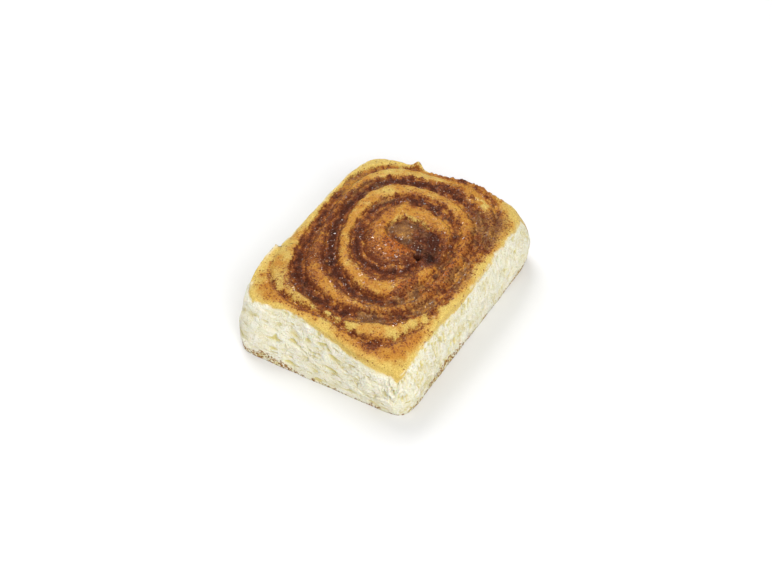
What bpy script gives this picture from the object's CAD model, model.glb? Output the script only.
import math

import bpy
import numpy as np
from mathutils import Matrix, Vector, kdtree


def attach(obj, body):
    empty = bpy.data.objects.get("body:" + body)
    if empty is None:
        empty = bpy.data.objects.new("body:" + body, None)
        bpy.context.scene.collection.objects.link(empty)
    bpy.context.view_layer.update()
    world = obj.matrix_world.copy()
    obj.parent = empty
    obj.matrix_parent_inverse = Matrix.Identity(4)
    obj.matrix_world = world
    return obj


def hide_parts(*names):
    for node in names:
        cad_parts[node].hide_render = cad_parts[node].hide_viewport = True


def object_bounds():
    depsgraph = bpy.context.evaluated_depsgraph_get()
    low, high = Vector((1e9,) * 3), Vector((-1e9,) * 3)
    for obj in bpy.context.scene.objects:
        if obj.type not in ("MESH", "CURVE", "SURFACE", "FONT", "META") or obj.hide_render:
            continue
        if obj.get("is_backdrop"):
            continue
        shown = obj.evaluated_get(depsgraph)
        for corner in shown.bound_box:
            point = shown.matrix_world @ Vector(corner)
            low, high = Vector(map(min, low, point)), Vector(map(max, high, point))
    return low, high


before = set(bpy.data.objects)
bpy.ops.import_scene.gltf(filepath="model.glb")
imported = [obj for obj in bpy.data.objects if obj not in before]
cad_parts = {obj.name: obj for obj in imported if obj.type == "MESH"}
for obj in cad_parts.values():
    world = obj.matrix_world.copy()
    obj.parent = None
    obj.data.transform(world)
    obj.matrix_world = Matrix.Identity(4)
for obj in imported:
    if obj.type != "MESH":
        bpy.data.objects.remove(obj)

MM = 0.001
CAD_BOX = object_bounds()

# Main sizes of the roll, as in its solids
HEIGHT = 33.0
HALF_X, HALF_Y = 37.6, 50.8
SIDE_DROP, CORNER_DROP, SUNK_DROP = 6.0, 4.5, 4.5
DOME_POWER, CORNER_POWER = 2.4, 4
RELIEF = 1.9
BULGE, CORNER_BULGE = 0.7, 2.0
SHIFT = np.array([0.59, 0.04])  # puts the roll's box over the origin

# The spiral from turn -1 on, as shares of the way from MIDDLE to the outline at each twelfth of
# a turn. Before GATE it is the rim of the filling's patch in the middle, and it ends at TAIL.
MIDDLE = np.array([8.0, 8.0])
GATE, TAIL = 0.096, 3.45
HOURS = 12
SPIRAL = np.array(
    [0.20, 0.17, 0.10, 0.09, 0.09, 0.13, 0.25, 0.26, 0.22, 0.21, 0.19, 0.31]
    + [0.42, 0.26, 0.31, 0.36, 0.36, 0.40, 0.49, 0.49, 0.47, 0.47, 0.42, 0.47]
    + [0.54, 0.54, 0.59, 0.61, 0.55, 0.58, 0.69, 0.74, 0.72, 0.74, 0.69, 0.72]
    + [0.78, 0.73, 0.73, 0.78, 0.76, 0.80, 0.86, 0.93, 0.94, 0.94, 0.93, 0.88]
    + [0.87, 0.86, 0.92, 0.86, 0.88, 1.00, 1.03]
)

# The crust's rim in the same way, for one turn, and how square the outlines of all three are
CRUST_RIM = np.array([1.00, 0.95, 1.01, 0.96, 0.92, 1.02, 1.00, 0.97, 0.94, 0.99, 1.00, 0.99])
SPIRAL_SQUARE, RIM_SQUARE, BASE_SQUARE = 3.2, 8.0, 16.0

# Small forms of the rim: how far each reaches, at which turn it is and how many turns wide. The
# tail's step ends at the tail. The flake also curls up, over a length of its own.
FLAKE, FLAKE_TURN, FLAKE_WIDTH = 2.6, 0.69, 0.009
POINT, POINT_TURN, POINT_WIDTH = 2.4, 0.130, 0.010
TAIL_STEP, TAIL_STEP_WIDTH = 1.6, 0.12
FLAKE_LIFT, FLAKE_LIFT_WIDTH, FLAKE_LIFT_LENGTH = 1.6, 0.006, 3
RIM_FORM_DEPTH = 2.5  # how far down the sides these forms still show

# Ridges and grooves of the dough's top
MIN_RIDGE, MIN_ROOM = 1.6, 0.5  # least width of a ridge, and of the half bands beside it
SLOPE, SOAKED_SLOPE = 1.5, 0.5  # width of a ridge's slope, and more per millimetre soaked
GROOVE = 1.6  # greatest depth of a groove under its filling
CORE_RISE, CORE_TURN, CORE_WIDTH = 0.5, -0.45, 0.5  # the strip's start stands a little higher
ROUNDING, ROUNDING_DROP = 2.2, 1.2  # width and depth of the round at the rim
DOUGH_HOLE, FILLING_HOLE = 2.5, 3.5  # depth of the dark hole
TORN_TURNS = (0.105, 0.118)  # from a side's middle, where its torn edge ends

# The pale lip of the strip's start beside the patch, in turns and in distance from the filling
LIP_TURNS = (-0.62, -0.5, -0.25, -0.12)
LIP_MIDDLE, LIP_WIDTH = 0.4, 1.1

# The filling: its bands' widths and how dark they are at each quarter turn from BAND_START
BAND_START = 0.25
BAND_WIDTHS = np.array([5.4, 5.4, 5.8, 2.4, 4.8, 5.8, 5.9, 2.6, 5.4, 5.8, 2.0, 1.2, 2.2, 0.6])
DARK = np.array([1.0, 0.84, 0.85, 0.75, 1.0, 1.05, 0.88, 0.72, 1.0, 0.78, 0.68, 0.35, 0.65, 0.0])
OUTER_SHARE, INNER_SHARE = 0.85, 0.75  # of the bands' half widths, on either side
GATE_OPENING, GATE_WIDENING = 0.35, 10  # a band's share of its width at GATE, and more per turn
FULL_DEPTH_AT = 1.5  # the half width from which a band's groove has its full depth
PATCH_REACH = 0.6  # how far the middle's patch reaches over the strip's start
PATCH_DEEP, PATCH_DARK = 0.6, 1  # its groove's share of the full depth, and how dark it is
FRAY = 0.4  # how far, on average, the bands' edges draw back
FILLING_DEPTH = 1.95  # below the dome, less the clumps and the rises at places
BACK_RISE, PATCH_RISE, BURNT_RISE = 2.2, 0.6, 0.7
BACK_SPREAD = 4.0  # how far the clumps at the back edge lie over the crust
LAYER, LAYER_BELOW_DOUGH = 1.6, 0.6  # thickness, and how far it dips into the dough
LAYER_SHOWS = -0.3  # a cell is made where the filling comes this close to the dough's top
LAYER_END, BACK_LAYER_END = 0.985, 0.012  # share of the way to the rim, and more at the back

# The strip at each quarter turn from STRIP_START, beside the patch in the middle: how brown its
# crest is from 0 to 1, and how far syrup has soaked into it from its inner and outer side
STRIP_START = -1
BAKE = np.array([1.00, 0.95, 0.55, 0.50, 0.65, 0.35, 0.35, 0.30, 0.78, 0.40]
                + [0.60, 0.18, 0.68, 0.25, 0.25, 0.28, 0.52, 0.75, 0.22])
SOAK_IN = np.array([2.0, 1.5, 1.2, 2.5, 5.0, 4.5, 1.2, 2.8, 2.0, 3.0]
                   + [2.6, 1.6, 3.0, 2.0, 1.0, 1.2, 2.4, 2.0, 0.6])
SOAK_OUT = np.array([4.0, 6.0, 5.0, 1.5, 1.2, 2.0, 1.6, 1.2, 3.5, 2.2]
                    + [2.6, 1.0, 2.0, 1.6, 1.2, 2.0, 2.0, 2.0, 2.0])

# How far down the sides the crust reaches: everywhere, more on the front and towards its right
# end, where it hangs over the right side, and beside the near corner. It covers the whole back.
# The front and the back go from one turn to another, and fade in and out.
HEM, FRONT_HEM, SLANT_HEM, HANGING_HEM, CORNER_HEM, BACK_HEM = 0.3, 0.4, 2.2, 2.6, 4.2, 40
FRONT_TURNS, BACK_TURNS = (0.125, 0.16, 0.4, 0.5), (0.60, 0.64, 0.865, 0.88)
SLANT_X = (-22, 20)
HANGING_X, HANGING_Y, HANGING_WIDTH = 30, -14, 16
NEAR_CORNER = np.array([34.2, -50.4])
CORNER_HEM_LENGTH, CORNER_HEM_END = 1.8, 36.8

# The torn crumb: its shreds lie along the front and stand upright on the right and left side,
# tufts stand out by the near corner, and the right side is porous near it
UPRIGHT_TURNS = (0.05, 0.2)
LYING_STRETCH, STANDING_STRETCH = 3.2, 1.8
TUFT, TUFT_REACH, TUFT_WIDTH, TUFT_LENGTH = 1.5, 5, 1.1, 3.5
POROUS_REACH = 24
FOOT_RIM, FOOT_RIM_TOP = 0.35, 8  # how far the brown foot stands out, and below which height
OUT_POINTS = 3  # points on either side that give the sides' outward direction

# The bare strip of crumb along the top's right edge by the near corner, widest at its end
BARE_STRIP, BARE_FLARE, BARE_END, BARE_LENGTH, BARE_START = 0.7, 3.0, -51, 8.0, -34

# Places as their middle and width. PALE is pale crust, TAN tan filling and FOOT brown crust at
# the base, SOAKED holds more syrup, BACK_CLUMPS and MOUNDS are piled up filling, HOLE is a dark
# hole beside the strip's start and BURNT is burnt sugar.
PALE = ((34, -49, 8), (8, -41.5, 3), (0, -45, 6), (35, 46, 5), (-34, 47, 14), (37, -15, 5),
        (37, 12, 5), (3.5, 9, 3.5), (-34, 28, 6), (25, -37, 3.2), (27.5, -33, 3.4),
        (29.5, -28.5, 3.4), (31, -24, 3.2))
TAN = ((2, 10, 8), (30, 32, 11), (25, -20, 8), (14, -35, 6), (-18, 24, 6), (-31, 28, 8),
       (30, 3, 8))
FOOT = ((38, -22, 22), (38, 42, 9), (-26, -51, 12), (-60, 0, 34), (0, 73, 34))
SOAKED = ((28, 35, 7), (31, 24, 5), (-15, 51, 4), (-21, -31, 7), (-21, -19, 6), (20, -46, 3.5))
BACK_CLUMPS = (11.0, 50.0, 14.0)
MOUNDS = ((-22.5, -30.5, 5.5), (-1, -35.5, 4.5))
HOLE = (13.5, 0.2, 1.2)
BURNT = (19.0, 1.3, 2.6)

# Random unevenness, in layers of a strength, a size and a seed
CRUST_WAVES = ((0.4, 7.0, 1), (0.25, 2.8, 2), (0.1, 1.2, 3))
FRAY_WAVES = ((0.5, 3.6, 5),)
TEAR_WAVES = ((1.0, 6.0, 6), (0.8, 1.8, 7))
SOAK_EDGE_WAVES = ((0.7, 2.6, 8),)
MOTTLE_WAVES = ((0.30, 3.0, 9), (0.14, 1.3, 10))
BAKE_WAVES = ((0.25, 8.0, 21), (0.12, 3.0, 22))
HEM_WAVES = ((0.7, 6.0, 31), (0.6, 2.2, 32), (0.4, 1.0, 38))
FOOT_WAVES = ((1.0, 2.6, 33), (0.5, 0.9, 34))
SKIN_WAVES = ((0.25, 9.0, 35), (0.1, 3.0, 36))

# Colours of crust with syrup: from which amount of syrup to which, and the colours then, warm
# and dull
SYRUP = (
    (0.04, 0.42, (0.35, 0.120, 0.025), (0.32, 0.155, 0.048)),
    (0.32, 0.70, (0.180, 0.048, 0.016), (0.21, 0.096, 0.036)),
    (0.66, 1.02, (0.078, 0.021, 0.010), (0.138, 0.058, 0.024)),
    (1.20, 1.70, (0.030, 0.010, 0.006), (0.030, 0.010, 0.006)),
)

# Other colours
PALE_CRUST, GOLD_CRUST = (0.73, 0.54, 0.145), (0.60, 0.29, 0.045)
BROWN_CRUST, THIN_CRUST = (0.43, 0.120, 0.016), (0.87, 0.67, 0.20)
CRUST_SHADE = (0.70, 0.56, 0.40)
PALE_SPECK, DARK_SPECK = (0.24, 0.060, 0.017), (0.120, 0.029, 0.011)
CRUST_SUGAR = (0.78, 0.55, 0.32)
CRUMB, WHITE_CRUMB = (0.885, 0.84, 0.645), (0.91, 0.88, 0.75)
CRUMB_HOLLOW, CRUMB_PIT = (0.73, 0.63, 0.26), (0.76, 0.68, 0.36)
DARK_SOLE, LIGHT_SOLE = (0.20, 0.085, 0.022), (0.50, 0.29, 0.10)
DRY_FILLING = (0.50, 0.23, 0.040)
FILLING_SPECK, FILLING_SUGAR = (0.06, 0.018, 0.007), (0.72, 0.55, 0.42)
FLOOR, FLOOR_SHADE = (0.86, 0.86, 0.86), 0.985

# Specks of the crust: how far apart, and their radius and soft edge as shares of that
SPECKS = ((1.3, 0.32, 0.07), (0.9, 0.36, 0.09), (2.1, 0.25, 0.05))

# The view, in degrees and metres, from a little over the corner at +X and -Y
AZIMUTH, ELEVATION = 30.15, 45.49
DISTANCE = 1.1655
AIM = (-0.0035, 0.0058, 0)
LENS, SENSOR = 136.46, 36.0

# The floor and the lights, in metres and watts: place, size, power and whether a light shines
FLOOR_SIDE = 3.0
WORLD_STRENGTH = 0.42
LIGHTS = {
    "key": ((-0.45, 0.30, 0.75), 0.6, 4.8, False),
    "fill": ((0.61, -0.55, 0.75), 0.8, 9.1, False),
    "spark": ((-0.30, 0.55, 0.75), 0.16, 4.4, True),
    "sheen": ((0.10, -0.10, 0.95), 0.22, 1.7, True),
}

# Detail: cells of the dough's top and of the filling across and along, rows of the sides, and
# steps in turns along the filling's bands
TOP_CELLS, FILLING_CELLS = (180, 240), (232, 310)
SIDE_ROWS = 64
BAND_STEP, PATCH_STEP, SLOPE_STEP = 0.0008, 0.002, 0.004
FAR = 99.0  # more than any distance here

# Whole numbers that turn a place and a seed into random bits
PLACE_BITS = [np.uint64(number) for number in (73856093, 19349663, 83492791)]
SEED_BITS = 2654435761
FIRST_BITS, NEXT_BITS = np.uint64(0x9E3779B97F4A7C15), np.uint64(0xBF58476D1CE4E5B9)
NOISE_GAIN = 1.6  # stretches smooth random values to about -1 to 1


def outline(turn, square):
    """Points of a squarish oval round the origin."""
    angle = -2 * np.pi * np.asarray(turn)
    c, s = np.cos(angle), np.sin(angle)
    reach = (np.abs(c) ** square + np.abs(s) ** square) ** (-1 / square)
    return np.stack([reach * c * HALF_X, reach * s * HALF_Y], -1)


def between(values, spot, closed=False):
    """Smooth values between the evenly spaced values of a list."""
    i = np.floor(spot).astype(int)
    s = spot - i
    n = len(values)
    if closed:
        a, b, c, d = (values[(i + k) % n] for k in (-1, 0, 1, 2))
    else:
        a, b, c, d = (values[np.clip(i + k, 0, n - 1)] for k in (-1, 0, 1, 2))
    bend = (2 * a - 5 * b + 4 * c - d) * s**2 + (3 * b - a - 3 * c + d) * s**3
    return 0.5 * (2 * b + (c - a) * s + bend)


def quarterly(values, turn, start):
    """Smooth values from a list that has one for each quarter turn from a start."""
    return between(values, np.clip((turn - start) * 4, 0, len(values) - 1))


def smoothstep(low, high, x):
    s = np.clip((x - low) / (high - low), 0, 1)
    return s * s * (3 - 2 * s)


def window(x, start, full, fade, end):
    """0 up to the start and from the end on, and 1 from full to fade."""
    return smoothstep(start, full, x) * (1 - smoothstep(fade, end, x))


def hill(x, middle, width, power=2):
    """1 at the middle and 0 far from it."""
    return np.exp(-(((x - middle) / width) ** power))


def closeness(spots, place):
    """1 at a place and 0 far from it."""
    x, y, size = place
    gap = np.linalg.norm(spots - [x, y], axis=-1) / size
    return np.exp(-gap * gap)


def closest(spots, places):
    """The greatest closeness to any of several places."""
    return np.max([closeness(spots, place) for place in places], axis=0)


def unit(v):
    return v / np.maximum(np.linalg.norm(v, axis=-1, keepdims=True), 1e-9)


def flat(spot):
    """Points seen from above, with a zero height added."""
    return np.concatenate([spot, np.zeros(spot.shape[:-1] + (1,))], -1)


def spiral(turn):
    """The filling's middle line; before GATE, the rim of its patch in the middle."""
    share = between(SPIRAL, (np.asarray(turn) + 1) * HOURS)
    return MIDDLE + share[..., None] * (outline(turn, SPIRAL_SQUARE) - MIDDLE)


def crust_rim(turn, bumps=1):
    """Rim of the crust, with the tail's step, a flake at the back and a pointed near corner."""
    turn = np.asarray(turn) % 1
    share = between(CRUST_RIM, turn * HOURS, closed=True)
    spot = MIDDLE + share[..., None] * (outline(turn, RIM_SQUARE) - MIDDLE)
    bump = FLAKE * hill(turn, FLAKE_TURN, FLAKE_WIDTH)
    bump = bump + POINT * hill(turn, POINT_TURN, POINT_WIDTH)
    spot = spot + bumps * unit(spot) * bump[..., None]
    behind = (TAIL % 1 - turn) / TAIL_STEP_WIDTH
    step = np.where(behind > 0, TAIL_STEP * np.maximum(0, 1 - behind**2), 0)
    return spot - np.stack([step, 0 * step], -1)


def top_height(spot):
    """Height of the top: a low dome that sinks at its corners, most at the near one."""
    u = np.minimum(np.abs(spot[..., 0]) / HALF_X, 1)
    v = np.minimum(np.abs(spot[..., 1]) / HALF_Y, 1)
    corner = (u * v) ** CORNER_POWER
    side = 1 - (1 - u**DOME_POWER) * (1 - v**DOME_POWER)
    near = (spot[..., 0] > 0) & (spot[..., 1] < 0)
    return HEIGHT - (SIDE_DROP * side + CORNER_DROP * corner) - SUNK_DROP * corner * near


def lattice(cell, seed):
    """Four random values from 0 to 1 for each whole-number place."""
    x, y, z = (cell[..., k].astype(np.uint64) * PLACE_BITS[k] for k in range(3))
    bits = (x ^ y ^ z ^ np.uint64(seed * SEED_BITS % 2**32)) * FIRST_BITS
    out = []
    for shift in (7, 21, 33, 47):
        out.append(((bits >> np.uint64(shift)) & np.uint64(0xFFFF)).astype(float) / 0xFFFF)
        bits = bits ^ (bits >> np.uint64(29)) * NEXT_BITS
    return np.stack(out, -1)


def rough(place, size, seed, octaves=1):
    """Smooth random values from about -1 to 1 that change over the given distance."""
    total, weight = 0.0, 0.0
    for octave in range(octaves):
        p = place / (size * 0.5**octave)
        base = np.floor(p)
        f = p - base
        ease = f**3 * (f * (f * 6 - 15) + 10)
        value = 0.0
        for corner in np.ndindex(2, 2, 2):
            step = np.array(corner)
            slope = lattice((base + step).astype(np.int64), seed + octave)[..., :3] * 2 - 1
            lean = np.prod(np.where(step == 1, ease, 1 - ease), axis=-1)
            value = value + lean * np.sum(slope * (f - step), axis=-1)
        total = total + value * 0.5**octave
        weight += 0.5**octave
    return total * NOISE_GAIN / weight


def waves(place, layers):
    """Smooth random values added up from layers of a strength, a size and a seed."""
    return sum(strength * rough(place, size, seed) for strength, size, seed in layers)


def cells(place, size, seed):
    """How far places are from the walls between scattered bubbles, and their bubble's number."""
    p = place / size
    base = np.floor(p)
    best = np.full(p.shape[:-1], FAR)
    second = np.full(p.shape[:-1], FAR)
    number = np.zeros(p.shape[:-1])
    for corner in np.ndindex(3, 3, 3):
        cell = base + np.array(corner) - 1
        dice = lattice(cell.astype(np.int64), seed)
        gap = np.linalg.norm(cell + dice[..., :3] - p, axis=-1)
        closer = gap < best
        second = np.where(closer, best, np.minimum(second, gap))
        best = np.where(closer, gap, best)
        number = np.where(closer, dice[..., 3], number)
    return second - best, number


def pores(place, size, seed, wall, choice):
    """Rounded hollows, from 0 to 1 deep, in those bubbles whose number passes the choice."""
    gap, number = cells(place, size, seed)
    return smoothstep(0.0, wall, gap) * smoothstep(*choice, number)


class Bands:
    """Looks up how far a point lies from the filling's bands."""

    def __init__(self):
        self.turn = np.arange(GATE, TAIL, BAND_STEP)
        self.spot = spiral(self.turn)
        self.out = self.normals(self.turn)
        self.outer = OUTER_SHARE * self.reach(self.turn)[0]
        self.inner = INNER_SHARE * self.reach(self.turn - 1)[1]
        laps = range(math.ceil(TAIL - GATE))
        self.trees = [self.tree(lap == np.floor(self.turn - GATE)) for lap in laps]
        patch = spiral(np.arange(GATE, GATE - 1, -PATCH_STEP)) - MIDDLE
        self.patch_angle = np.unwrap(np.arctan2(patch[:, 1], patch[:, 0]))
        self.patch_reach = np.linalg.norm(patch, axis=-1)

    @staticmethod
    def normals(turn):
        along = spiral(turn + SLOPE_STEP) - spiral(turn - SLOPE_STEP)
        return unit(np.stack([-along[..., 1], along[..., 0]], -1))

    def tree(self, use):
        """The chosen points of the bands' middle line, kept so that the nearest is found fast."""
        chosen = np.flatnonzero(use)
        tree = kdtree.KDTree(len(chosen))
        for i in chosen:
            tree.insert((*self.spot[i], 0.0), int(i))
        tree.balance()
        return tree

    @staticmethod
    def half(turn):
        """Half the width of the band, which is narrow in the gap by the patch."""
        opening = np.minimum(1, GATE_OPENING + GATE_WIDENING * np.maximum(turn - GATE, 0))
        return 0.5 * opening * quarterly(BAND_WIDTHS, turn, BAND_START)

    def reach(self, turn):
        """How far the bands at a strip's inner and outer side reach over it."""
        torn = turn + 1 > TAIL
        inner = np.where(turn >= GATE, self.half(turn), PATCH_REACH)
        outer = np.where(torn, 0.0, self.half(turn + 1))
        far = np.where(torn[:, None], crust_rim(turn), spiral(turn + 1))
        width = np.linalg.norm(far - spiral(turn), axis=-1)
        room = np.maximum(width - MIN_RIDGE, MIN_ROOM)
        squeeze = np.minimum(1, room / (inner + outer))
        return inner * squeeze, outer * squeeze

    def strength(self, turn):
        """How deep the groove of the band is, and how dark its filling."""
        deep = np.clip(self.half(turn) / FULL_DEPTH_AT, 0.1, 1)
        dark = quarterly(DARK, turn, BAND_START)
        patch = turn < GATE
        return np.where(patch, PATCH_DEEP, deep), np.where(patch, PATCH_DARK, dark)

    def look(self, spots):
        """Distances from the filling on the inner and the outer side, less than 0 on it, and
        the turns of the bands there. The patch in the middle has turns below GATE."""
        spoke = spots - MIDDLE
        angle = np.arctan2(spoke[:, 1], spoke[:, 0])
        start = self.patch_angle[0]
        lap = start + (angle - start) % (2 * np.pi)
        patch = np.interp(lap, self.patch_angle, self.patch_reach)
        inward = np.linalg.norm(spoke, axis=-1) - patch
        turn = GATE - (lap - start) / (2 * np.pi)
        outward = np.full(len(spots), FAR)
        next_turn = np.full(len(spots), TAIL)
        for tree in self.trees:
            found = np.array([tree.find((x, y, 0.0))[1:] for x, y in spots])
            k, gap = found[:, 0].astype(int), found[:, 1]
            outside = np.sum((spots - self.spot[k]) * self.out[k], axis=-1) > 0
            far = np.where(outside, gap - self.outer[k], FAR)
            turn = np.where(far < inward, self.turn[k], turn)
            inward = np.minimum(inward, far)
            far = np.where(outside, FAR, gap - self.inner[k])
            next_turn = np.where(far < outward, self.turn[k], next_turn)
            outward = np.minimum(outward, far)
        return inward, outward, turn, next_turn


def plan_grid(cells_x, cells_y):
    """Points of a grid that fills the crust's rim, with each one's share of the way out and
    its turn."""
    u, v = np.meshgrid(np.linspace(-1, 1, cells_x + 1), np.linspace(-1, 1, cells_y + 1))
    u, v = u.ravel(), v.ravel()
    share = np.maximum(np.abs(u), np.abs(v))
    turn = -np.arctan2(v, u) / (2 * np.pi)
    return share[:, None] * crust_rim(turn), share, turn


def grid_faces(rows, columns):
    a = (np.arange(rows - 1)[:, None] * columns + np.arange(columns - 1)).ravel()
    return np.stack([a, a + 1, a + columns + 1, a + columns], -1)


def border(rows, columns):
    """Numbers of a grid's outer points, counter-clockwise."""
    low = np.arange(columns)
    right = np.arange(1, rows) * columns + columns - 1
    top = np.arange(columns - 2, -1, -1) + (rows - 1) * columns
    left = np.arange(rows - 2, 0, -1) * columns
    return np.concatenate([low, right, top, left])


class Top:
    """The roll's top at many points: its shape and how it is baked and soaked with syrup."""

    def __init__(self, bands, spots):
        place = flat(spots)
        self.spots = spots
        self.inward, self.outward, self.turn, next_turn = bands.look(spots)
        self.deep_in, self.dark_in = bands.strength(self.turn)
        self.deep_out, self.dark_out = bands.strength(next_turn)
        self.soak_in = quarterly(SOAK_IN, self.turn, STRIP_START)
        self.soak_out = quarterly(SOAK_OUT, self.turn, STRIP_START)
        self.rim_turn = -np.arctan2(spots[:, 1] / HALF_Y, spots[:, 0] / HALF_X) / (2 * np.pi)
        self.from_rim = np.linalg.norm(crust_rim(self.rim_turn) - spots, axis=-1)
        self.back = closeness(spots, BACK_CLUMPS)
        fray = FRAY + waves(place, FRAY_WAVES)
        self.inward = self.inward + fray - BACK_SPREAD * self.back
        self.outward = self.outward + fray
        self.hole, self.burnt = closeness(spots, HOLE), closeness(spots, BURNT)
        self.tan, self.pale = closest(spots, TAN), closest(spots, PALE)
        lip = window(self.turn, *LIP_TURNS)
        self.lip = lip * hill(self.inward, LIP_MIDDLE, LIP_WIDTH)
        self.dough = self.dough_height(place)
        self.filling, self.clump = self.filling_height(place)
        self.torn = self.tears(place)
        self.thin = hill(self.from_rim, 0, 2.0) * (1 - self.back)
        self.soak = self.soaks(place)
        self.bake = self.baking(place)

    def dough_height(self, place):
        """Ridges that slope gently where syrup has soaked in and drop steeply elsewhere."""
        inner = np.clip(self.inward / (SLOPE + SOAKED_SLOPE * self.soak_in), 0, 1)
        outer = np.clip(self.outward / (SLOPE + SOAKED_SLOPE * self.soak_out), 0, 1)
        rise = 1 - (1 - inner) ** 2 * self.deep_in
        rise = rise * (1 - (1 - outer) ** 2 * self.deep_out)
        groove = np.clip(-np.minimum(self.inward, self.outward), 0, GROOVE)
        z = top_height(self.spots) - RELIEF * (1 - rise) - groove
        z = z + CORE_RISE * hill(self.turn, CORE_TURN, CORE_WIDTH, power=4) * rise
        lean = 1 - np.clip(self.from_rim / ROUNDING, 0, 1)
        # A quarter round that stops a little short of upright
        z = z - ROUNDING_DROP * (1 - np.sqrt(1 - 0.98 * lean**2))
        z = z + waves(place, CRUST_WAVES)
        flake = FLAKE_LIFT * hill(self.rim_turn % 1, FLAKE_TURN, FLAKE_LIFT_WIDTH)
        flake = flake * np.clip(1 - self.from_rim / FLAKE_LIFT_LENGTH, 0, 1)
        return z + flake - DOUGH_HOLE * self.hole

    def filling_height(self, place):
        """Height of the filling's rounded clumps, and a random number for each clump."""
        medium, number = cells(place, 2.2, seed=11)
        fine, _ = cells(place, 1.0, seed=12)
        coarse, _ = cells(place, 4.0, seed=15)
        medium, fine, coarse = (np.sqrt(np.clip(gap, 0, 1)) for gap in (medium, fine, coarse))
        patch = self.turn < GATE
        sway = (0.4 + 0.4 * patch) * rough(place, 5.0, seed=14)
        depth = FILLING_DEPTH - sway - BACK_RISE * self.back - PATCH_RISE * patch
        lumps = (medium + 0.4 * fine) * (1 - 0.4 * patch)
        lumps = lumps + coarse * (1.3 * self.back + closest(self.spots, MOUNDS))
        z = top_height(self.spots) - depth + lumps + 0.3 * rough(place, 1.5, seed=13)
        z = z - FILLING_HOLE * self.hole + BURNT_RISE * self.burnt
        return z, 0.5 * number + 0.5 * medium * fine

    def tears(self, place):
        """How far the crust is worn off to pale crumb along its right and left edges."""
        x, y = self.spots[:, 0], self.spots[:, 1]
        hanging = hill(y, HANGING_Y, HANGING_WIDTH) * (x > 0)
        bite = waves(place, TEAR_WAVES) + 0.2 - 1.6 * hanging
        from_side = np.abs((self.rim_turn + 0.25) % 0.5 - 0.25)
        worn = smoothstep(-0.9, 0.6, bite - self.from_rim)
        worn = worn * (1 - smoothstep(*TORN_TURNS, from_side))
        edge = HALF_X - BARE_STRIP - BARE_FLARE * np.exp((BARE_END - y) / BARE_LENGTH)
        bare = smoothstep(-0.3, 0.6, x - edge + 0.3 * bite) * (y < BARE_START)
        return np.maximum(worn, bare)

    def soaks(self, place):
        """How much syrup a spot holds, from 0 on clean crust to 2 in the darkest filling."""
        ragged = waves(place, SOAK_EDGE_WAVES)
        inner = (self.inward, self.soak_in, self.dark_in)
        outer = (self.outward, self.soak_out, self.dark_out)
        soak = 0.0
        for gap, reach, dark in (inner, outer):
            gap = gap + ragged
            part = 0.8 * (1 - smoothstep(-0.3, 1.5, gap / reach))
            part = part + 0.4 * np.clip(-gap / 1.5, 0, 1)
            soak = soak + dark * part - soak * dark * part
        soak = soak * (1 - 0.5 * self.pale)
        mottled = np.clip(4 * soak * (1.25 - soak) + 0.28 - 0.2 * self.pale, 0, 1)
        soak = soak + 0.03 + waves(place, MOTTLE_WAVES) * mottled
        edge = hill(self.from_rim, 0, 1.9) * (1 - self.back)
        wet = closest(self.spots, SOAKED)
        soak = soak + 0.3 * wet * (1 - soak) + 0.14 * wet
        soak = soak * (1 - 0.15 * self.tan) * (1 - 0.7 * edge)
        soak = soak * (1 - 0.5 * self.lip) - 0.1 * self.back
        return np.clip(soak + 1.2 * self.hole + 1.1 * self.burnt, 0, 2)

    def baking(self, place):
        """How brown the crust is, from 0 for pale yellow to 1 for deep orange-brown."""
        brown = quarterly(BAKE, self.turn, STRIP_START) - 0.5 * self.pale - 0.5 * self.lip
        brown = brown - 0.5 * np.exp(-self.from_rim / 2.0)
        return np.clip(brown + waves(place, BAKE_WAVES), 0, 1)


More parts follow.
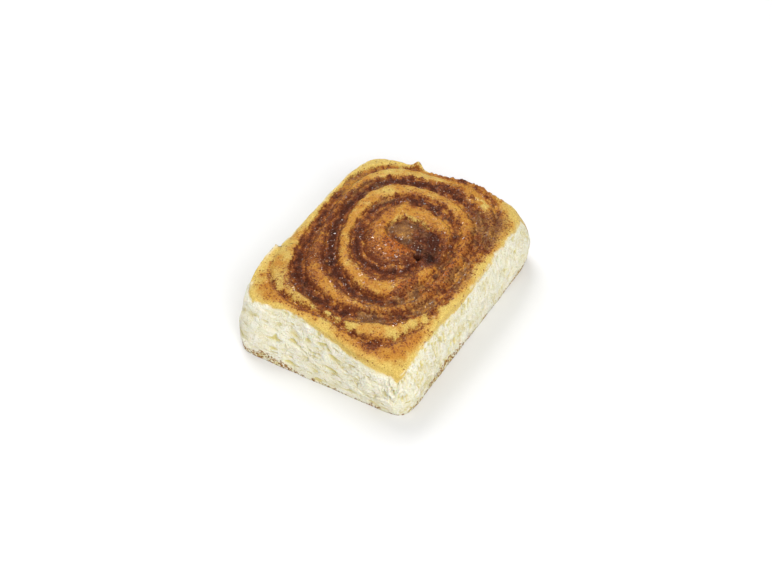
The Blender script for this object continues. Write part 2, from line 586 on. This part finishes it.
class Sides:
    """The torn sides and the baked back, worked out row by row from the rim down."""

    def __init__(self, turn, edge):
        self.rim, self.top = edge[:, :2], edge[:, 2]
        self.plain_rim = crust_rim(turn, bumps=0)
        self.base = outline(turn, BASE_SQUARE)
        x, y = self.base[:, 0], self.base[:, 1]
        along = np.roll(self.base, -OUT_POINTS, 0) - np.roll(self.base, OUT_POINTS, 0)
        self.out = unit(np.stack([along[:, 1], -along[:, 0]], -1))
        steps = np.linalg.norm(np.diff(self.base, axis=0), axis=-1)
        self.run = np.concatenate([[0], np.cumsum(steps)])
        self.corner = np.abs(np.sin(4 * np.pi * turn)) ** 6
        self.back = window(turn, *BACK_TURNS)
        from_ends = np.minimum(np.abs(turn - 0.25), np.abs(turn - 0.75))
        self.upright = smoothstep(*UPRIGHT_TURNS, from_ends)
        self.from_corner = np.linalg.norm(self.base - NEAR_CORNER, axis=-1)
        front = window(turn, *FRONT_TURNS)
        slant = front * smoothstep(*SLANT_X, x)
        hanging = hill(y, HANGING_Y, HANGING_WIDTH) * (x > HANGING_X)
        corner = np.exp(-self.from_corner / CORNER_HEM_LENGTH) * (x < CORNER_HEM_END)
        self.hem = HEM + FRONT_HEM * front + SLANT_HEM * slant + HANGING_HEM * hanging
        self.hem = self.hem + CORNER_HEM * corner
        self.foot = closest(self.base, FOOT)
        right = smoothstep(0.0, 3.0, x - HALF_X + 3)
        self.porous = right * (0.25 + 0.75 * hill(self.from_corner, 0, POROUS_REACH))

    def row(self, share_up):
        """Points of a row at a share of the height, and the values for its look."""
        height = self.top * share_up
        depth = self.top - height
        spot = self.base + (self.plain_rim - self.base) * share_up
        form = hill(depth, 0, RIM_FORM_DEPTH)
        spot = spot + (self.rim - self.plain_rim) * form[:, None]
        place = np.concatenate([spot, height[:, None]], -1)
        stand, look = self.look(place, depth)
        spot = spot + self.out * stand[:, None]
        return np.concatenate([spot, height[:, None]], -1), look

    def look(self, place, depth):
        """How far a row's points stand out, and their values: crumb or crust, hollows, skin,
        brown foot, and how pale, thin or baked the crust is."""
        height = place[:, 2]
        share_up = height / (height + depth)
        below = depth - self.hem - waves(place, HEM_WAVES) - BACK_HEM * self.back
        relief, hollow = self.relief(place)
        fade = smoothstep(-0.3, 1.2, below) * smoothstep(-0.6, 4.0, height)
        skin = waves(place, SKIN_WAVES) * (1 - fade)
        swell = (BULGE + CORNER_BULGE * self.corner) * 4 * share_up * (1 - share_up)
        foot = 0.5 + 3.8 * self.foot + 1.6 * waves(place, FOOT_WAVES)
        look = {
            "crumb": smoothstep(-0.7, 0.4, below),
            "hollow": hollow,
            "skin": self.back * np.clip(0.12 + 2.0 * skin, 0, 1),
            "foot": smoothstep(-0.3, 0.3, foot - height),
            "pale": hill(below, 0, 2.6) * (1 - self.back),
            "thin": hill(below, 0, 1.6) * (1 - self.back),
            "baked": 0.40 * self.back * (1 - np.exp(-depth / 3)),
        }
        foot_rim = FOOT_RIM * (1 - fade) * (height < FOOT_RIM_TOP)
        return swell + relief * fade + skin + foot_rim, look

    def relief(self, place):
        """How far the torn crumb stands out, with crags, shreds, pores and tufts, and how deep
        its hollows are, from 0 to 1."""
        run, height = self.run, place[:, 2]
        lying = np.stack([run / LYING_STRETCH, height, 0 * run], -1)
        standing = np.stack([run, height / STANDING_STRETCH, 0 * run + 50], -1)
        crag = rough(place, 5.0, seed=41)
        relief = 0.5 * crag + 0.3
        hollow = 0.32 - 0.3 * crag
        for grain, weight in ((lying, 1 - self.upright), (standing, 0.7 * self.upright)):
            shred = rough(grain, 1.4, seed=42, octaves=3)
            bent = grain + np.stack([shred, rough(grain, 1.9, seed=45), 0 * shred], -1)
            pore = pores(bent, 2.2, seed=43, wall=0.6, choice=(0.6, 1.0))
            pin = pores(bent, 1.1, seed=44, wall=0.45, choice=(0.2, 0.9))
            relief = relief + weight * (0.7 * shred - pore - 0.7 * pin)
            hollow = hollow + weight * (0.9 * pore + 0.6 * pin - 0.5 * shred)
        bubble = pores(place, 1.5, seed=48, wall=0.5, choice=(0.1, 0.6)) * self.porous
        relief = relief - 0.8 * bubble
        hollow = hollow + 0.8 * bubble
        near = hill(self.from_corner, 0, TUFT_REACH) * smoothstep(6, 12, height)
        upright = np.stack([run / TUFT_WIDTH, height / TUFT_LENGTH, 0 * run], -1)
        tuft = 1 - 3 * np.abs(rough(upright, 1.0, seed=46))
        return relief + TUFT * near * tuft, np.clip(hollow - 0.6 * near * tuft, 0, 1)


def make_mesh(name, points, faces, fields):
    """A mesh in metres from points in millimetres, with a value per point for each field."""
    mesh = bpy.data.meshes.new(name)
    points = np.array(points)
    points[:, :2] += SHIFT
    mesh.from_pydata((points * MM).tolist(), [], faces)
    mesh.validate()
    for field, values in fields.items():
        data = mesh.attributes.new(field, "FLOAT", "POINT").data
        data.foreach_set("value", np.asarray(values, dtype=np.float32))
    mesh.shade_smooth()
    obj = bpy.data.objects.new(name, mesh)
    bpy.context.scene.collection.objects.link(obj)
    return obj


def build_dough(bands):
    """One closed mesh: the top, the torn sides and the base."""
    nx, ny = TOP_CELLS
    spots, _, turn = plan_grid(nx, ny)
    crust = Top(bands, spots)
    top = np.concatenate([spots, crust.dough[:, None]], -1)
    ring = border(ny + 1, nx + 1)
    sides = Sides(turn[ring] % 1, top[ring])
    rows = [sides.row(1 - row / SIDE_ROWS) for row in range(1, SIDE_ROWS + 1)]
    points = np.concatenate([top] + [line for line, _ in rows])

    faces = grid_faces(ny + 1, nx + 1).tolist()
    count = len(ring)
    upper = ring
    for row in range(SIDE_ROWS):
        lower = len(top) + row * count + np.arange(count)
        quad = np.stack([upper, lower, np.roll(lower, -1), np.roll(upper, -1)], -1)
        faces += quad.tolist()
        upper = lower
    faces.append(upper[::-1].tolist())

    side = {name: np.concatenate([look[name] for _, look in rows]) for name in rows[0][1]}
    plain = np.zeros(len(top))
    rim_bake = np.tile(crust.bake[ring], SIDE_ROWS)
    fields = {
        "crumb": np.concatenate([crust.torn, side["crumb"]]),
        "hollow": np.concatenate([plain, side["hollow"]]),
        "soak": np.concatenate([crust.soak, side["skin"]]),
        "foot": np.concatenate([plain, side["foot"]]),
        "bake": np.concatenate([crust.bake, rim_bake * (1 - side["pale"]) + side["baked"]]),
        "thin": np.concatenate([crust.thin, side["thin"]]),
        "tan": np.concatenate([crust.tan, np.zeros(len(rim_bake))]),
    }
    return make_mesh("roll_dough", points, faces, fields)


def open_edges(faces):
    """Edges of only one face, as a list of point pairs that run the way their face does."""
    edges = {}
    for a, b in zip(faces.ravel(), np.roll(faces, -1, 1).ravel()):
        if (b, a) in edges:
            del edges[(b, a)]
        else:
            edges[(a, b)] = True
    return list(edges)


def build_filling(bands):
    """A closed lumpy layer in the grooves and the middle patch."""
    nx, ny = FILLING_CELLS
    spots, share, _ = plan_grid(nx, ny)
    crust = Top(bands, spots)
    faces = grid_faces(ny + 1, nx + 1)
    shows = (crust.filling - crust.dough)[faces].max(1) > LAYER_SHOWS
    end = LAYER_END + BACK_LAYER_END * crust.back[faces].max(1)
    inside = share[faces].max(1) < end
    used, faces = np.unique(faces[shows & inside], return_inverse=True)
    faces = faces.reshape(-1, 4)

    dough = crust.dough[used]
    height = np.maximum(crust.filling[used], dough - LAYER_BELOW_DOUGH)
    under = np.minimum(height - LAYER, dough - LAYER_BELOW_DOUGH)
    top = np.concatenate([spots[used], height[:, None]], -1)
    low = np.concatenate([spots[used], under[:, None]], -1)
    n = len(used)
    walls = [(a, a + n, b + n, b) for a, b in open_edges(faces)]
    every = faces.tolist() + (faces[:, ::-1] + n).tolist() + walls
    fields = {"tan": crust.tan, "soak": crust.soak, "clump": crust.clump}
    fields = {name: np.tile(values[used], 2) for name, values in fields.items()}
    return make_mesh("roll_filling", np.concatenate([top, low]), every, fields)


class Shade:
    """Short calls for building a material out of nodes."""

    def __init__(self, name):
        self.mat = bpy.data.materials.new(name)
        self.mat.use_nodes = True
        self.tree = self.mat.node_tree
        self.shader = self.tree.nodes["Principled BSDF"]
        self.place = self.node("ShaderNodeTexCoord").outputs["Object"]

    def node(self, kind, **settings):
        made = self.tree.nodes.new(kind)
        for key, value in settings.items():
            setattr(made, key, value)
        return made

    def feed(self, socket, value):
        """Links another node's socket, or sets a number or a colour."""
        if isinstance(value, bpy.types.NodeSocket):
            self.tree.links.new(value, socket)
        elif isinstance(value, tuple) and socket.type == "RGBA":
            socket.default_value = (*value, 1.0)
        else:
            socket.default_value = value

    def math(self, operation, a, b=0.0, clamp=False):
        made = self.node("ShaderNodeMath", operation=operation, use_clamp=clamp)
        self.feed(made.inputs[0], a)
        self.feed(made.inputs[1], b)
        return made.outputs[0]

    def mix(self, share, a, b, blend="MIX"):
        made = self.node("ShaderNodeMix", data_type="RGBA", blend_type=blend)
        self.feed(made.inputs["Factor"], share)
        self.feed(made.inputs["A"], a)
        self.feed(made.inputs["B"], b)
        return made.outputs["Result"]

    def ramp(self, value, low, high, start=0.0, end=1.0):
        """A smooth change from start to end while the value goes from low to high."""
        made = self.node("ShaderNodeMapRange", interpolation_type="SMOOTHSTEP")
        for socket, number in zip(made.inputs, (value, low, high, start, end)):
            self.feed(socket, number)
        return made.outputs["Result"]

    def noise(self, size, detail=2.0, roughness=0.5):
        made = self.node("ShaderNodeTexNoise")
        self.feed(made.inputs["Vector"], self.place)
        made.inputs["Scale"].default_value = 1 / (size * MM)
        made.inputs["Detail"].default_value = detail
        made.inputs["Roughness"].default_value = roughness
        return made.outputs["Fac"]

    def bubbles(self, size, feature="F1"):
        """The outputs of a pattern of scattered cells."""
        made = self.node("ShaderNodeTexVoronoi", feature=feature)
        self.feed(made.inputs["Vector"], self.place)
        made.inputs["Scale"].default_value = 1 / (size * MM)
        return made.outputs

    def spots(self, spacing, radius, share, soft=0.15):
        """Round spots on a share of scattered places. The radius is a share of the spacing."""
        made = self.bubbles(spacing)
        near = self.ramp(made["Distance"], radius - soft, radius + soft, 1.0, 0.0)
        split = self.node("ShaderNodeSeparateColor")
        self.feed(split.inputs["Color"], made["Color"])
        chosen = self.math("LESS_THAN", split.outputs["Red"], share)
        return self.math("MULTIPLY", near, chosen)

    def field(self, name):
        return self.node("ShaderNodeAttribute", attribute_name=name).outputs["Fac"]

    def bump(self, height, distance, strength=1.0, under=None):
        made = self.node("ShaderNodeBump")
        made.inputs["Strength"].default_value = strength
        made.inputs["Distance"].default_value = distance * MM
        self.feed(made.inputs["Height"], height)
        if under:
            self.feed(made.inputs["Normal"], under)
        return made.outputs["Normal"]


def syrup_color(s, crust, soak):
    """Colour of crust that darkens as it holds more syrup, to a duller brown where it is tan."""
    patch = s.ramp(s.noise(3.0, 3.0, 0.6), 0.35, 0.65, -0.30, 0.50)
    tan = s.ramp(s.math("ADD", s.field("tan"), patch), 0.2, 1.0, 0.0, 0.9)
    color = crust
    for low, high, warm, dull in SYRUP:
        color = s.mix(s.ramp(soak, low, high), color, s.mix(tan, warm, dull))
    return color


def crust_color(s, brown, soak, fine):
    """Baked crust, darker where it holds syrup, with brown specks and grains of sugar."""
    crust = s.mix(s.ramp(brown, 0.0, 0.45), PALE_CRUST, GOLD_CRUST)
    crust = s.mix(s.ramp(brown, 0.35, 1.0), crust, BROWN_CRUST)
    crust = s.mix(s.math("MULTIPLY", s.field("thin"), 0.5), crust, THIN_CRUST)
    grain = s.ramp(fine, 0.3, 0.7, -0.15, 0.15)
    grain = s.math("MULTIPLY", grain, s.ramp(soak, 0.0, 0.2, 0.3, 1.0))
    crust = syrup_color(s, crust, s.math("ADD", soak, grain))
    shade = s.ramp(s.noise(0.5), 0.35, 0.65, 0.0, 0.65)
    crust = s.mix(shade, crust, CRUST_SHADE, "MULTIPLY")

    rich = s.math("MAXIMUM", soak, s.ramp(brown, 0.4, 1.0, 0.0, 0.45))
    share = s.math("MULTIPLY", rich, 1.7)
    share = s.math("ADD", share, s.ramp(brown, 0.05, 0.5, 0.0, 0.3))
    share = s.math("ADD", share, s.ramp(s.noise(2.5), 0.4, 0.65, -0.25, 0.26))
    specks = 0.0
    for spacing, radius, soft in SPECKS:
        specks = s.math("MAXIMUM", specks, s.spots(spacing, radius, share, soft))
    specks = s.math("MULTIPLY", specks, s.ramp(rich, 0.05, 0.4, 0.8, 0.95))
    crust = s.mix(specks, crust, s.mix(s.ramp(rich, 0.05, 0.4), PALE_SPECK, DARK_SPECK))
    sugar = s.math("MULTIPLY", s.spots(0.8, 0.22, 0.07), s.ramp(soak, 0.1, 0.35))
    return s.mix(s.math("MULTIPLY", sugar, 0.8), crust, CRUST_SUGAR)


def crumb_color(s, broad, fine, pits):
    """Pale crumb that is yellower in its hollows and pits."""
    crumb = s.mix(s.ramp(broad, 0.35, 0.65), CRUMB, WHITE_CRUMB)
    crumb = s.mix(s.ramp(s.field("hollow"), 0.35, 1.0), crumb, CRUMB_HOLLOW)
    pitted = s.math("MULTIPLY", pits, s.ramp(fine, 0.4, 0.6, 0.1, 0.7))
    return s.mix(pitted, crumb, CRUMB_PIT)


def dough_material():
    s = Shade("baked_dough")
    crumb, soak, foot, bake = (s.field(name) for name in ("crumb", "soak", "foot", "bake"))
    fine, broad = s.noise(0.7, 2.0, 0.6), s.noise(4.0, 3.0, 0.6)
    brown = s.math("ADD", bake, s.ramp(broad, 0.3, 0.7, -0.12, 0.12), clamp=True)
    pits = s.ramp(s.bubbles(0.9, "DISTANCE_TO_EDGE")["Distance"], 0.05, 0.4)
    color = s.mix(crumb, crust_color(s, brown, soak, fine), crumb_color(s, broad, fine, pits))
    sole = s.mix(s.ramp(fine, 0.35, 0.6), DARK_SOLE, LIGHT_SOLE)
    color = s.mix(s.math("MULTIPLY", foot, s.ramp(s.noise(0.9), 0.44, 0.56)), color, sole)
    s.feed(s.shader.inputs["Base Color"], color)

    # Crust shines a little, with wet spots where it holds syrup, and crumb is matte
    gloss = s.ramp(s.noise(1.2), 0.3, 0.7, 0.26, 0.5)
    s.feed(s.shader.inputs["Roughness"], s.math("ADD", gloss, s.math("MULTIPLY", crumb, 0.5)))
    wet = s.ramp(soak, 0.0, 0.2, 0.15, 0.38)
    wet = s.math("MULTIPLY", wet, s.ramp(s.noise(0.8), 0.53, 0.64))
    wet = s.math("MULTIPLY", wet, s.ramp(crumb, 0.0, 0.3, 1.0, 0.0))
    s.feed(s.shader.inputs["Coat Weight"], wet)
    s.shader.inputs["Coat Roughness"].default_value = 0.12
    s.shader.inputs["Specular IOR Level"].default_value = 0.14
    s.shader.inputs["Subsurface Weight"].default_value = 0.15
    s.shader.inputs["Subsurface Radius"].default_value = (1.0, 0.5, 0.2)
    s.shader.inputs["Subsurface Scale"].default_value = 1.5 * MM

    # A grainy skin all over, and walls between the crumb's pits
    grainy = s.math("MULTIPLY", s.noise(0.9, 3.0, 0.6), s.ramp(crumb, 0.0, 1.0, 1.0, 0.7))
    skin = s.bump(grainy, 0.7, 0.9)
    walls = s.math("MULTIPLY", s.math("SUBTRACT", 1.0, pits), crumb)
    s.feed(s.shader.inputs["Normal"], s.bump(walls, 0.4, 0.7, skin))
    return s.mat


def filling_material():
    s = Shade("sticky_filling")
    fine = s.noise(0.7, 2.0, 0.6)
    dark = s.math("ADD", s.field("soak"), s.ramp(fine, 0.3, 0.7, -0.2, 0.2))
    dark = s.math("ADD", dark, s.ramp(s.field("clump"), 0.0, 1.0, -0.36, 0.50))
    color = syrup_color(s, DRY_FILLING, dark)
    specks = s.math("MULTIPLY", s.spots(0.8, 0.26, 0.35), 0.6)
    color = s.mix(specks, color, FILLING_SPECK)
    sugar = s.math("MULTIPLY", s.spots(0.8, 0.22, 0.08), 0.85)
    color = s.mix(sugar, color, FILLING_SUGAR)
    s.feed(s.shader.inputs["Base Color"], color)

    s.feed(s.shader.inputs["Roughness"], s.ramp(s.noise(1.5), 0.35, 0.65, 0.35, 0.55))
    s.shader.inputs["Specular IOR Level"].default_value = 0.06
    s.feed(s.shader.inputs["Coat Weight"], s.ramp(s.noise(0.9), 0.52, 0.64, 0.0, 0.7))
    s.shader.inputs["Coat Roughness"].default_value = 0.09
    round_grains = s.math("SUBTRACT", 1.0, s.bubbles(0.8, "SMOOTH_F1")["Distance"])
    lumpy = s.bump(round_grains, 0.5, 0.8)
    s.feed(s.shader.inputs["Normal"], s.bump(fine, 0.2, 0.4, lumpy))
    return s.mat


def floor_material():
    s = Shade("pale_floor")
    shade = tuple(c * FLOOR_SHADE for c in FLOOR)
    s.feed(s.shader.inputs["Base Color"], s.mix(s.ramp(s.noise(30.0), 0.3, 0.7), FLOOR, shade))
    s.shader.inputs["Roughness"].default_value = 0.7
    return s.mat


def add_floor(side):
    mesh = bpy.data.meshes.new("floor")
    corners = [(-side, -side, 0), (side, -side, 0), (side, side, 0), (-side, side, 0)]
    mesh.from_pydata(corners, [], [(0, 1, 2, 3)])
    floor = bpy.data.objects.new("floor", mesh)
    bpy.context.scene.collection.objects.link(floor)
    floor.data.materials.append(floor_material())
    floor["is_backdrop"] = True


def add_light(name, spot, size, power, shines):
    """A round light aimed at the roll: it either lights it or only shines in its glossy spots."""
    data = bpy.data.lights.new(name, "AREA")
    data.shape = "DISK"
    data.size = size
    data.energy = power
    light = bpy.data.objects.new(name, data)
    light.location = spot
    light.rotation_euler = (-Vector(spot)).to_track_quat("-Z", "Y").to_euler()
    light.visible_glossy = shines
    light.visible_diffuse = not shines
    bpy.context.scene.collection.objects.link(light)


def add_world(strength):
    """Even white light from all around that no glossy spot shows."""
    world = bpy.data.worlds.new("studio")
    world.use_nodes = True
    world.node_tree.nodes["Background"].inputs["Color"].default_value = (1, 1, 1, 1)
    world.node_tree.nodes["Background"].inputs["Strength"].default_value = strength
    world.cycles_visibility.glossy = False
    bpy.context.scene.world = world


def add_camera():
    azimuth, elevation = math.radians(AZIMUTH), math.radians(ELEVATION)
    target = Vector(AIM) + Vector((*SHIFT, 0)) * MM
    back = Vector((
        math.sin(azimuth) * math.cos(elevation),
        -math.cos(azimuth) * math.cos(elevation),
        math.sin(elevation),
    ))
    data = bpy.data.cameras.new("camera")
    data.lens = LENS
    data.sensor_width = SENSOR
    camera = bpy.data.objects.new("camera", data)
    camera.location = target + back * DISTANCE
    camera.rotation_euler = (-back).to_track_quat("-Z", "Y").to_euler()
    bpy.context.scene.collection.objects.link(camera)
    bpy.context.scene.camera = camera


bands = Bands()
dough = build_dough(bands)
dough.data.materials.append(dough_material())
filling = build_filling(bands)
filling.data.materials.append(filling_material())
for piece, node in ((dough, "dough"), (filling, "cinnamon_filling")):
    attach(piece, "root")
    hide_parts(node)

add_floor(FLOOR_SIDE)
add_camera()
add_world(WORLD_STRENGTH)
for name, settings in LIGHTS.items():
    add_light(name, *settings)
bpy.context.scene.view_settings.view_transform = "Standard"

sizes = {"cad": CAD_BOX, "visual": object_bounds()}
sizes = {name: [[float(c) for c in corner] for corner in box] for name, box in sizes.items()}
